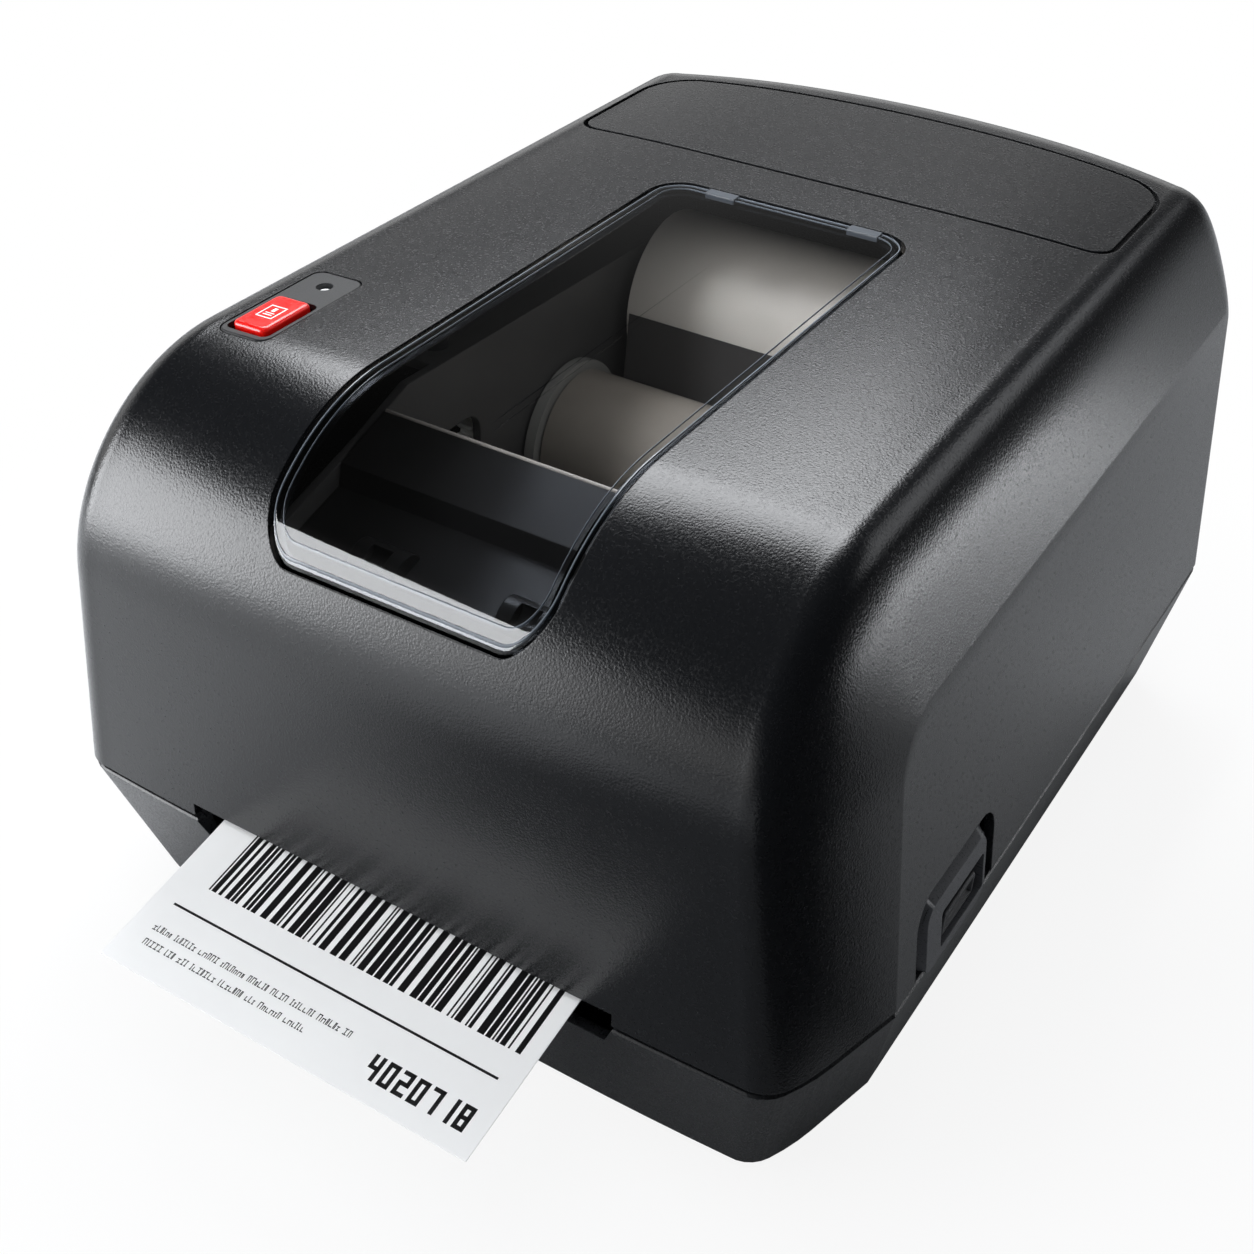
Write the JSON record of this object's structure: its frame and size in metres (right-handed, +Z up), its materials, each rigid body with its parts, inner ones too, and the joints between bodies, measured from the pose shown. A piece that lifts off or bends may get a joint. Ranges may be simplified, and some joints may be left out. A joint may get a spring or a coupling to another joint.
{
  "type": "thermal label printer",
  "caption": "Desktop thermal-transfer label printer with a clamshell cover, smoked window, red feed button and side latches",
  "frame": {"origin": "middle of the bounding box at the surface that the feet stand on", "axes": "+X across the machine to the right as seen from the front, +Y from the label mouth to the rear, +Z up"},
  "size_m": [0.216, 0.3202, 0.1611],
  "materials": {
    "cover_plastic": "fine leather grain, satin",
    "base_plastic": "smooth satin",
    "inner_black": "fine matt",
    "latch_black": "satin",
    "control_trim": "smooth satin",
    "rubber_feet": "matt",
    "platen_rubber": "matt, ground",
    "smoked_window": "glossy smoked polycarbonate",
    "red_button": "gloss",
    "light_pipe": "clear light pipe",
    "circuit_board": "solder mask",
    "black_connector": "matt",
    "plated_steel": "bright plated",
    "white_gear": "moulded acetal",
    "brass_pinion": "machined",
    "motor_metal": "satin",
    "head_metal": "extruded",
    "head_ceramic": "glazed ceramic",
    "label_paper": "coated paper",
    "cardboard": "kraft board",
    "holder_plastic": "satin",
    "ribbon_wax": "wound film",
    "ribbon_spool": "satin"
  },
  "bodies": {
    "base": {"base_tray": "base_plastic", "foot_pads": "rubber_feet", "base_screws": "plated_steel", "media_well": "inner_black", "rear_panel": "inner_black", "main_board": "circuit_board", "dc_jack": "black_connector", "usb_port": "plated_steel", "serial_port": "plated_steel", "switch_frame": "inner_black", "platen_frame": "inner_black", "platen_bush_left": "white_gear", "platen_bush_right": "white_gear", "feed_motor": "motor_metal", "tear_bar": "plated_steel", "gap_sensor": "black_connector", "label_strip": "label_paper", "hinge_pins": "plated_steel"},
    "rocker": {"power_rocker": "latch_black"},
    "platen": {"platen_roller": "platen_rubber", "platen_shaft": "plated_steel", "platen_gear": "white_gear"},
    "idler": {"idler_gear": "white_gear"},
    "pinion": {"motor_pinion": "brass_pinion"},
    "label_supply": {"label_roll": "label_paper", "label_core": "cardboard"},
    "holder_right": {"roll_holder_right": "holder_plastic"},
    "holder_left": {"roll_holder_left": "holder_plastic"},
    "rack_pinion": {"holder_pinion": "white_gear"},
    "guide_right": {"media_guide_right": "holder_plastic"},
    "guide_left": {"media_guide_left": "holder_plastic"},
    "release_left": {"latch_left": "latch_black"},
    "release_right": {"latch_right": "latch_black"},
    "cover": {"top_cover": "cover_plastic", "hinge_leaves": "cover_plastic", "window": "smoked_window", "name_panel": "cover_plastic", "control_plate": "control_trim", "status_light": "light_pipe", "button_board": "circuit_board", "ribbon_plate_left": "inner_black", "ribbon_plate_right": "inner_black", "ribbon_shroud": "inner_black", "ribbon_bars": "plated_steel", "pivot_rod": "plated_steel", "supply_brake": "motor_metal", "ribbon_film": "ribbon_wax", "cover_screws": "plated_steel"},
    "button": {"feed_button": "red_button"},
    "head": {"head_bracket": "head_metal", "thermal_head": "head_ceramic", "head_springs": "plated_steel"},
    "ribbon_supply": {"ribbon_supply_roll": "ribbon_wax", "ribbon_supply_core": "ribbon_spool"},
    "ribbon_takeup": {"ribbon_takeup_roll": "ribbon_wax", "ribbon_takeup_core": "ribbon_spool", "takeup_gear": "white_gear"},
    "ribbon_idler": {"ribbon_gear": "white_gear"},
    "ribbon_guide": {"ribbon_guide_roller": "ribbon_spool"}
  },
  "joints": [
    {"name": "cover_hinge", "type": "hinge", "parent": "base", "child": "cover", "pos_m": [0, 0.1561, 0.04485], "axis": [-1, 0, 0], "range_deg": [0, 85]},
    {"name": "latch_right_slide", "type": "slide", "parent": "base", "child": "release_right", "axis": [-1, 0, 0], "range_m": [0, 0.003], "stiffness_N_per_m": 800},
    {"name": "latch_left_slide", "type": "slide", "parent": "base", "child": "release_left", "axis": [1, 0, 0], "range_m": [0, 0.003], "stiffness_N_per_m": 800},
    {"name": "feed_button_press", "type": "slide", "parent": "cover", "child": "button", "axis": [0.0349, 0.0375, -0.9987], "range_m": [0, 0.0008], "stiffness_N_per_m": 600},
    {"name": "power_rocker_tilt", "type": "hinge", "parent": "base", "child": "rocker", "pos_m": [0.046, 0.1419, 0.019], "axis": [1, 0, 0], "range_deg": [0, 9]},
    {"name": "platen_spin", "type": "hinge", "parent": "base", "child": "platen", "pos_m": [0, -0.0961, 0.0395], "axis": [1, 0, 0], "continuous": true},
    {"name": "idler_spin", "type": "hinge", "parent": "base", "child": "idler", "pos_m": [-0.07, -0.0789, 0.02746], "axis": [1, 0, 0], "continuous": true},
    {"name": "pinion_spin", "type": "hinge", "parent": "base", "child": "pinion", "pos_m": [-0.07, -0.0609, 0.02746], "axis": [1, 0, 0], "continuous": true},
    {"name": "label_roll_spin", "type": "hinge", "parent": "base", "child": "label_supply", "pos_m": [0, 0.0959, 0.0465], "axis": [1, 0, 0], "continuous": true},
    {"name": "holder_right_slide", "type": "slide", "parent": "base", "child": "holder_right", "axis": [1, 0, 0], "range_m": [0, 0.016]},
    {"name": "holder_left_slide", "type": "slide", "parent": "base", "child": "holder_left", "axis": [-1, 0, 0], "range_m": [0, 0.016]},
    {"name": "rack_pinion_spin", "type": "hinge", "parent": "base", "child": "rack_pinion", "pos_m": [0, 0.0539, 0.0165], "axis": [0, 0, -1], "range_deg": [0, 155]},
    {"name": "guide_right_slide", "type": "slide", "parent": "base", "child": "guide_right", "axis": [1, 0, 0], "range_m": [0, 0.006]},
    {"name": "guide_left_slide", "type": "slide", "parent": "base", "child": "guide_left", "axis": [-1, 0, 0], "range_m": [0, 0.006]},
    {"name": "head_pivot", "type": "hinge", "parent": "cover", "child": "head", "pos_m": [0, -0.0581, 0.06], "axis": [-1, 0, 0], "range_deg": [0, 2.5], "stiffness_Nm_per_rad": 2},
    {"name": "ribbon_takeup_spin", "type": "hinge", "parent": "cover", "child": "ribbon_takeup", "pos_m": [0, 0.0389, 0.08], "axis": [1, 0, 0], "continuous": true},
    {"name": "ribbon_supply_spin", "type": "hinge", "parent": "cover", "child": "ribbon_supply", "pos_m": [0, 0.0889, 0.107], "axis": [1, 0, 0], "continuous": true},
    {"name": "ribbon_gear_spin", "type": "hinge", "parent": "cover", "child": "ribbon_idler", "pos_m": [-0.07, 0.01071, 0.09026], "axis": [1, 0, 0], "continuous": true},
    {"name": "ribbon_guide_spin", "type": "hinge", "parent": "cover", "child": "ribbon_guide", "pos_m": [0, 0.0679, 0.081], "axis": [1, 0, 0], "continuous": true}
  ],
  "couplings": [
    {"joint": "idler_spin", "follows": "platen_spin", "ratio": -0.75},
    {"joint": "pinion_spin", "follows": "platen_spin", "ratio": 1.5},
    {"joint": "label_roll_spin", "follows": "platen_spin", "ratio": -0.28333},
    {"joint": "holder_left_slide", "follows": "holder_right_slide", "ratio": 1},
    {"joint": "rack_pinion_spin", "follows": "holder_right_slide", "rad_per_m": 166.67},
    {"joint": "guide_left_slide", "follows": "guide_right_slide", "ratio": 1},
    {"joint": "ribbon_gear_spin", "follows": "ribbon_takeup_spin", "ratio": -1.5},
    {"joint": "ribbon_supply_spin", "follows": "ribbon_takeup_spin", "ratio": 0.78},
    {"joint": "ribbon_guide_spin", "follows": "ribbon_takeup_spin", "ratio": 3}
  ]
}
